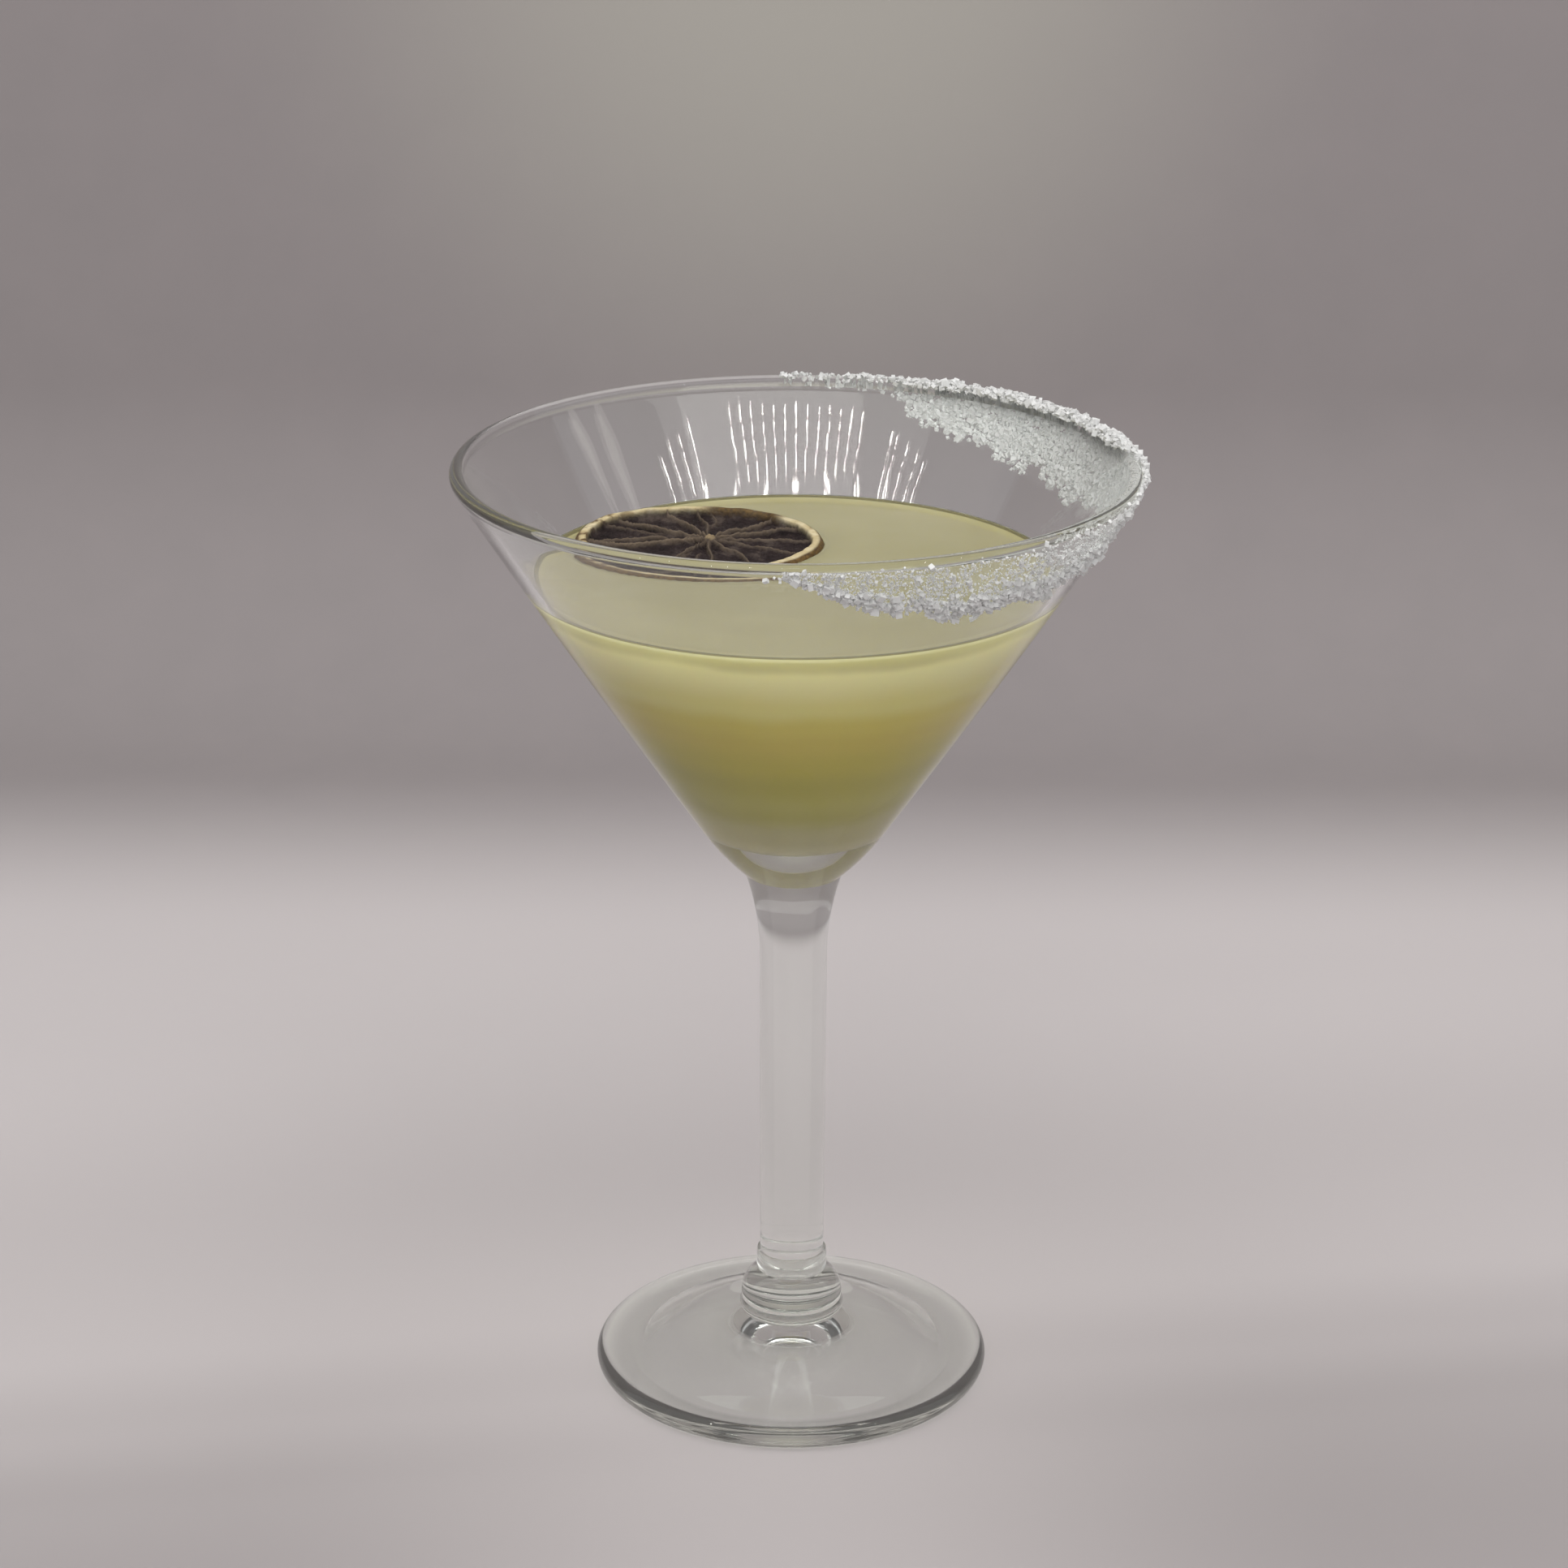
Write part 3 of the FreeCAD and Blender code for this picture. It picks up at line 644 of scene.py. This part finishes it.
def surface_radii():
    """Radii of the rings over the surface, closer together where it climbs the wall."""
    edge = side_at(LEVEL, WALL)
    radii = [edge - share * MENISCUS_REACH for share in (0.0, 0.15, 0.3, 0.5, 0.75, 1.0)]
    return radii + spaced(radii[-1], 0.0, 56)[:-1]


def make_drink():
    """The drink's body, from its surface down to the floor, reaching just into the glass."""
    side, radii = drink_side(), surface_radii()
    circle = [(math.cos(turn), math.sin(turn)) for turn in bearings(DRINK_AROUND)]
    vertices = [(0.0, 0.0, FLOOR - INTO_WALL)]
    for across, up in side:
        vertices += [(across * x, across * y, up) for x, y in circle]
    for across in radii:
        vertices += [(across * x, across * y, surface_height(across * x, across * y)) for x, y in circle]
    vertices.append((0.0, 0.0, surface_height(0.0, 0.0)))
    faces = ring_faces(len(side) + len(radii), DRINK_AROUND)
    on_side = len(side) * DRINK_AROUND
    drink = new_mesh("drink_body", vertices, faces)
    outward(drink)
    drink.data.materials.append(drink_material("drink_side", SIDE_TONES, gloss=0.12, shaded_by_height=True))
    drink.data.materials.append(drink_material("drink_surface", SURFACE_TONES, gloss=0.7, shaded_by_height=False))
    drink.data.polygons.foreach_set("material_index", [0] * on_side + [1] * (len(faces) - on_side))
    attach(drink, "root")
    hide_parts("drink")


def drink_material(name, tones, gloss, shaded_by_height):
    """Cloudy lime juice. On the side its tone follows height, partly its own yellow and partly painted light
    and shade; on the surface it varies at random. A thin painted shade line runs where it climbs the glass
    and the lime.
    """
    shader = Shader(name)
    height = shader.axes()["Z"]
    cloud_and_shade = shader.noise(30.0, 3.0, 0.5)
    # Painted light and shade: on the side the colour follows height, with a noisy edge.
    if shaded_by_height:
        lift = shader.math("MULTIPLY", shader.math("SUBTRACT", cloud_and_shade, 0.5), 6 * MM)
        cloud_and_shade = shader.map(shader.math("ADD", height, lift), FLOOR, LEVEL)
    colour = shader.colours(cloud_and_shade, [(at, srgb(*tone)) for at, tone in tones])
    # Painted shade: darker where the drink climbs above its level, at the glass and the lime wheel.
    meniscus_shade = shader.map(height, LEVEL + 0.45 * MM, LEVEL + 0.60 * MM)
    shader.paint(shader.mix(meniscus_shade, colour, srgb(*MENISCUS_SHADE)))
    shader.set(Roughness=0.06, IOR=1.34, Specular_IOR_Level=gloss)
    shader.set(Subsurface_Weight=0.6, Subsurface_Radius=(1.0, 0.9, 0.5), Subsurface_Scale=8 * MM)
    return shader.material


# ------------------------------------------------------------------ the dried lime wheel

LIME_AROUND = 540
LIME_ACROSS = 104
LIME_DOWN = 12
LIME_SKIN = 1.15 * MM
LIME_INNER = 1 - LIME_SKIN / LIME_HALF.x
LIME_CROWN = LIME_HIGH.z - 0.45 * MM
LIME_UNDERSIDE = LIME_LOW.z + 0.5 * MM
LIME_BED = 1.35 * MM
MEMBRANES = 12
FAINT_MEMBRANES = 5
HUB_OFFSET = (0.095, 0.10)
BARE_BEARING = math.radians(66.0)


def lime_warp(x, y):
    """How far the slice curls from a plane, x and y from -1 to 1: its back and left end stand up."""
    wave = 0.12 * math.sin(3 * math.atan2(y, x) + 0.5) * (x * x + y * y)
    return (0.25 * x * x - 0.30 * x + 0.45 * y + 0.35 * max(0.0, y) ** 2 + wave) * MM


def membrane_lines():
    """Each membrane's bearing, how it bends on its way out, its strength and its waves' phase."""
    chance = random.Random(SEED)
    lines = []
    for number in range(MEMBRANES):
        turn = 2 * math.pi * number / MEMBRANES + math.radians(6.5 * math.sin(2.4 * number + 0.6))
        lines.append((turn, chance.uniform(-0.32, 0.32), chance.uniform(0.56, 1.0), chance.uniform(0.0, 6.0)))
    for _ in range(FAINT_MEMBRANES):
        turn = chance.uniform(0, 2 * math.pi)
        lines.append((turn, chance.uniform(-0.5, 0.5), chance.uniform(0.25, 0.5), chance.uniform(0.0, 6.0)))
    return lines


def angle_between(first, second):
    return (first - second + math.pi) % (2 * math.pi) - math.pi


def pith_at(share, round_x, round_y):
    """How far a place belongs to the pith, whose inner edge is uneven."""
    edge = 0.942 + 0.006 * round_y
    edge += 0.022 * noise.noise(Vector((round_x * 3.2, round_y * 3.2, 0.0)))
    edge += 0.014 * noise.noise(Vector((round_x * 12.0, round_y * 12.0, 5.0)))
    return ramp(share, edge - 0.02, edge + 0.015)


def web_at(share, x, y, lines):
    """How far a place belongs to a membrane or the core, and how far to the core alone."""
    hub_x, hub_y = x - HUB_OFFSET[0], y - HUB_OFFSET[1]
    out, around = math.hypot(hub_x, hub_y), math.atan2(hub_y, hub_x)
    width = 0.009 + 0.008 * (1 - share)
    web = 0.0
    for bearing, bend, strength, phase in lines:
        sway = bend * (out - 0.15) ** 2 + 0.05 * math.sin(out * 9.0 + phase)
        off = angle_between(around, bearing + sway) * max(out, 0.03)
        start = ramp(out, 0.02, 0.10) if strength > 0.55 else ramp(out, 0.35, 0.5)
        web = max(web, math.exp(-(off / width) ** 2) * strength * start)
    core = math.exp(-((hub_x / 0.055) ** 2 + (hub_y / 0.038) ** 2))
    return max(web, core), core


def lime_relief(share, turn, lines):
    """Height over the slice's plane at a place on its top, then its pith, web, skin and core."""
    round_x, round_y = math.cos(turn), math.sin(turn)
    x, y = share * round_x, share * round_y
    spot = Vector((x * 9.0, y * 9.0, 3.0))
    rough = noise.noise(spot * 1.1)
    pith = pith_at(share, round_x, round_y)
    web, core = web_at(share, x, y, lines)
    bare = 1 - ramp(abs(angle_between(turn, BARE_BEARING)), 0.24, 0.48)
    flesh = -LIME_BED
    flesh += 0.34 * MM * noise.noise(Vector((round_x * 9.0, round_y * 9.0, share * 3.5)))
    flesh += 0.26 * MM * noise.noise(spot * 2.3) + 0.10 * MM * noise.noise(spot * 6.0)
    flesh -= 0.35 * MM * ramp(share, 0.25, 0.6) * (0.6 + rough)
    flesh += web * (1.10 + 0.45 * rough) * MM
    crest = 0.15 * MM * (noise.noise(Vector((round_x * 6.0, round_y * 6.0, share * 5.0))) - 1)
    height = flesh * (1 - pith) + crest * pith
    return height, pith ** 3 * (1 - 0.8 * bare), web * (1 - pith), 0.8 * pith * bare, core


def lime_top(lines):
    """The slice's top from its middle outwards: x, y, height, then pith, web, skin and core."""
    yield 0.0, 0.0, LIME_CROWN + lime_relief(0.0, 0.0, lines)[0], 0.0, 0.0, 0.0, 0.0
    for share in spaced(0.0, 1.0, LIME_ACROSS):
        for turn in bearings(LIME_AROUND):
            height, *masks = lime_relief(share, turn, lines)
            reach = share * LIME_INNER * lime_outline(turn)
            x, y = reach * math.cos(turn), reach * math.sin(turn)
            yield x, y, LIME_CROWN + height + lime_warp(x, y), *masks


def lime_side(lines):
    """The puckered skin, from the top's edge down to the middle of the underside, as lime_top."""
    for level in range(1, LIME_DOWN + 1):
        bend = math.pi * level / LIME_DOWN
        pith, skin = 1.0 - ramp(level, 0.6, 2.2), ramp(level, 0.5, 2.2)
        for turn in bearings(LIME_AROUND):
            round_x, round_y = math.cos(turn), math.sin(turn)
            pucker = 0.25 * MM * noise.noise(Vector((round_x * 11, round_y * 11, level * 0.5)))
            thick = (LIME_SKIN + pucker * math.sin(bend)) / LIME_HALF.x
            reach = (LIME_INNER + thick * math.sin(bend)) * lime_outline(turn)
            x, y = reach * round_x, reach * round_y
            top = LIME_CROWN + lime_relief(1.0, turn, lines)[0] + lime_warp(x, y)
            yield x, y, top + (LIME_UNDERSIDE - top) * (1 - math.cos(bend)) / 2, pith, 0.0, skin, 0.0
    yield 0.0, 0.0, LIME_UNDERSIDE, 0.0, 0.0, 0.0, 0.0


def make_lime():
    """The dried slice: pith and skin round shrunken, wrinkled flesh, membranes and a core."""
    lines = membrane_lines()
    points = [*lime_top(lines), *lime_side(lines)]
    vertices = [(LIME_CENTRE.x + x * LIME_HALF.x, LIME_CENTRE.y + y * LIME_HALF.y, up)
                for x, y, up, *_ in points]
    lime = new_mesh("lime_slice", vertices, ring_faces(LIME_ACROSS + LIME_DOWN, LIME_AROUND))
    outward(lime)
    masks = list(zip(*points))[3:]
    for name, values in zip(("pith", "web", "skin", "core"), masks):
        value_attribute(lime, name, values)
    lime.data.materials.append(lime_material())
    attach(lime, "root")
    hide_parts("lime_wheel")


def lime_material():
    """Near-black flesh, dull membranes, cream pith stained at its left end, and brown skin."""
    shader = Shader("dried_lime")
    blotch = shader.noise(260.0, 5.0, 0.6)
    fine = shader.noise(1400.0, 4.0, 0.6)
    flesh = shader.colours(blotch, [
        (0.30, srgb(20, 12, 12)), (0.5, srgb(38, 29, 28)), (0.72, srgb(74, 64, 58)),
    ])
    pith = shader.colours(blotch, [
        (0.28, srgb(128, 102, 66)), (0.42, srgb(188, 172, 132)), (0.7, srgb(212, 200, 166)),
    ])
    leftward = shader.map(shader.axes()["X"], LIME_LOW.x + 3 * MM, LIME_LOW.x + 16 * MM, 1.0, 0.0)
    stain = shader.math("MULTIPLY", leftward, shader.map(shader.noise(420.0, 3.0), 0.42, 0.6))
    pith = shader.mix(stain, pith, srgb(92, 70, 44))
    membrane = shader.mix(fine, srgb(92, 79, 68), srgb(136, 120, 100))
    skin = shader.colours(fine, [(0.3, srgb(66, 48, 26)), (0.7, srgb(112, 88, 50))])
    core = shader.mix(fine, srgb(124, 106, 80), srgb(154, 136, 106))
    colour = shader.mix(shader.math("MULTIPLY", shader.attribute("web"), 0.9), flesh, membrane)
    colour = shader.mix(shader.map(shader.attribute("core"), 0.35, 0.8), colour, core)
    colour = shader.mix(shader.attribute("pith"), colour, pith)
    shader.paint(shader.mix(shader.attribute("skin"), colour, skin))
    shader.link(shader.map(fine, 0.3, 0.7, 0.5, 0.85), shader.surface.inputs["Roughness"])
    shader.set(Specular_IOR_Level=0.35)
    shader.bump(shader.math("ADD", fine, blotch), 0.4 * MM, 0.8)
    return shader.material


# ------------------------------------------------------------------ the salt

CRYSTALS = 9000
DUST = 6500
SALT_START, SALT_END = -96.0, 93.0
SALT_REACH = [
    (-96.0, 0.8), (-88.0, 4.5), (-76.0, 9.5), (-62.0, 13.0), (-42.0, 13.6), (-22.0, 12.0), (2.0, 11.0),
    (20.0, 12.6), (38.0, 11.2), (54.0, 10.2), (66.0, 7.5), (75.0, 3.0), (93.0, 1.8),
]
SALT_DEEPEST = 15.5 * MM
SALT_THICKNESS = 0.75 * MM
LEAST_DROP = 0.6 * MM
SIDE_SLANT = 1.19


def salt_depth_at(turn):
    """How far below the rim the crust reaches, at an angle round the rim in degrees."""
    depth = float(np.interp(turn, [at for at, _ in SALT_REACH], [depth for _, depth in SALT_REACH]))
    return depth * MM * (1 + 0.05 * math.sin(turn * 0.31 + 1.0) + 0.02 * math.sin(turn * 0.67))


def salt_top_at(turn):
    """How far over the bead the crust climbs, in radians above the bead's outer side."""
    return math.radians(14.0 + 138.0 * smooth((turn + 2.0) / 16.0))


def salt_place(turn, along):
    """A point on the glass under the crust and the way out from it; along runs 0 to 1 downwards."""
    low_angle = -math.asin(BEAD_SEAM / BEAD_RADIUS)
    top_angle = salt_top_at(turn)
    bead_length = (top_angle - low_angle) * BEAD_RADIUS
    seam = seam_point()
    wall_length = max(LEAST_DROP, seam[1] - (RIM_TOP - salt_depth_at(turn))) * SIDE_SLANT
    distance = along * (bead_length + wall_length)
    if distance < bead_length:
        angle = top_angle - distance / BEAD_RADIUS
        away = (math.cos(angle), math.sin(angle))
        middle = bead_centre()
        spot = (middle[0] + BEAD_RADIUS * away[0], middle[1] + BEAD_RADIUS * away[1])
    else:
        up = seam[1] - (distance - bead_length) / SIDE_SLANT
        across = side_at(up)
        away = ((across - SIDE_CENTRE[0]) / SIDE_RADIUS, (up - SIDE_CENTRE[1]) / SIDE_RADIUS)
        spot = (across, up)
    angle = math.radians(turn)
    round_x, round_y = math.cos(angle), math.sin(angle)
    point = Vector((spot[0] * round_x, spot[0] * round_y, spot[1]))
    normal = Vector((away[0] * round_x, away[0] * round_y, away[1]))
    return point, normal


def salt_cover(turn, along):
    """How thickly the crust covers a place, from 0 to 1."""
    point, _ = salt_place(turn, along)
    clump = noise.noise(point * 230.0) * 0.6 + noise.noise(point * 620.0) * 0.4
    front = 1 - ramp(turn, -22.0, 4.0)
    thin_above = 1 - front * (1 - ramp(along, 0.50, 0.85)) * 0.93
    ends = ramp(turn, SALT_START, SALT_START + 12) * (1 - 0.80 * ramp(turn, 60.0, 74.0))
    edge = 1 - ramp(along + 0.38 * clump, 0.76, 1.04)
    return thin_above * ends * edge * min(1.0, 0.84 - 0.18 * front + 0.95 * clump)


CUBE = np.array([(x, y, z) for x in (-1, 1) for y in (-1, 1) for z in (-1, 1)], dtype=float)
CUBE_FACES = [(0, 1, 3, 2), (4, 6, 7, 5), (0, 4, 5, 1), (2, 3, 7, 6), (0, 2, 6, 4), (1, 5, 7, 3)]


def broken_cube(chance, shake, centre, half):
    """Corners of one crystal: a cube of uneven sides, knocked about and turned any way."""
    sides = np.array([chance.uniform(0.7, 1.3) for _ in range(3)])
    shape = CUBE * (half * sides) + shake.normal(0.0, 0.16 * half, CUBE.shape)
    spin = Matrix.Rotation(chance.uniform(0, 6.3), 3, Vector(shake.normal(0, 1, 3)).normalized())
    return shape @ np.array(spin) + np.array(centre)


def crust_crystal(chance, shake):
    """One coarse crystal, or None where the crust doesn't cover the place that came up."""
    turn = chance.uniform(SALT_START, SALT_END)
    along = chance.random()
    if chance.random() * SALT_DEEPEST > salt_depth_at(turn) + 2.0 * MM:
        return None
    cover = salt_cover(turn, along)
    if chance.random() > cover:
        return None
    point, normal = salt_place(turn, along)
    half = min(0.52, 0.17 + 0.15 * chance.expovariate(1.6)) * MM
    half *= 1 - 0.35 * ramp(-turn, 20.0, 60.0) * (1 - ramp(along, 0.35, 0.7))
    lift = chance.random() ** 1.6 * SALT_THICKNESS * cover + 0.35 * half
    return broken_cube(chance, shake, point + normal * lift, half)


def dust_crystal(chance, shake):
    """One grain of the fine dust that lies in streaks on the front, or None between streaks."""
    turn = chance.uniform(SALT_START + 4.0, 12.0)
    along = chance.uniform(0.05, 0.92)
    point, normal = salt_place(turn, along)
    streak = noise.noise(Vector((turn * 0.55, along * 1.3, 4.0)))
    if chance.random() > 0.55 + 0.9 * streak:
        return None
    half = chance.uniform(0.05, 0.13) * MM
    return broken_cube(chance, shake, point + normal * 0.6 * half, half)


def make_crystals():
    """Coarse salt: broken cubes of many sizes, in clumps on the rim's outside, and its dust."""
    chance = random.Random(SEED + 1)
    shake = np.random.default_rng(SEED + 2)
    cubes = []
    for make_one, total in ((crust_crystal, CRYSTALS), (dust_crystal, CRYSTALS + DUST)):
        while len(cubes) < total:
            cube = make_one(chance, shake)
            if cube is not None:
                cubes.append(cube)
    vertices = np.concatenate(cubes).tolist()
    faces = [tuple(8 * number + corner for corner in face)
             for number in range(len(cubes)) for face in CUBE_FACES]
    salt = new_mesh("salt_crystals", vertices, faces, smoothed=False)
    salt.data.materials.append(salt_material())
    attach(salt, "root")
    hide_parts("salt_rim")


def salt_material():
    shader = Shader("salt_crystal")
    shader.paint(shader.mix(shader.noise(900.0, 3.0), (0.75, 0.75, 0.74), (0.91, 0.91, 0.90)))
    shader.set(Roughness=0.3, IOR=1.5, Transmission_Weight=0.25)
    shader.bump(shader.noise(3500.0, 2.0), 0.05 * MM, 0.5)
    return shader.material


# ------------------------------------------------------------------ make it all

make_camera()
make_lights()
make_stage()
make_lamps("led_rows", POINT_GROUPS, POINT_STRENGTH)
make_lamps("soft_strips", SOFT_GROUPS, SOFT_STRENGTH)
make_glass()
make_drink()
make_lime()
make_crystals()


bpy.context.scene.view_settings.view_transform = "Standard"
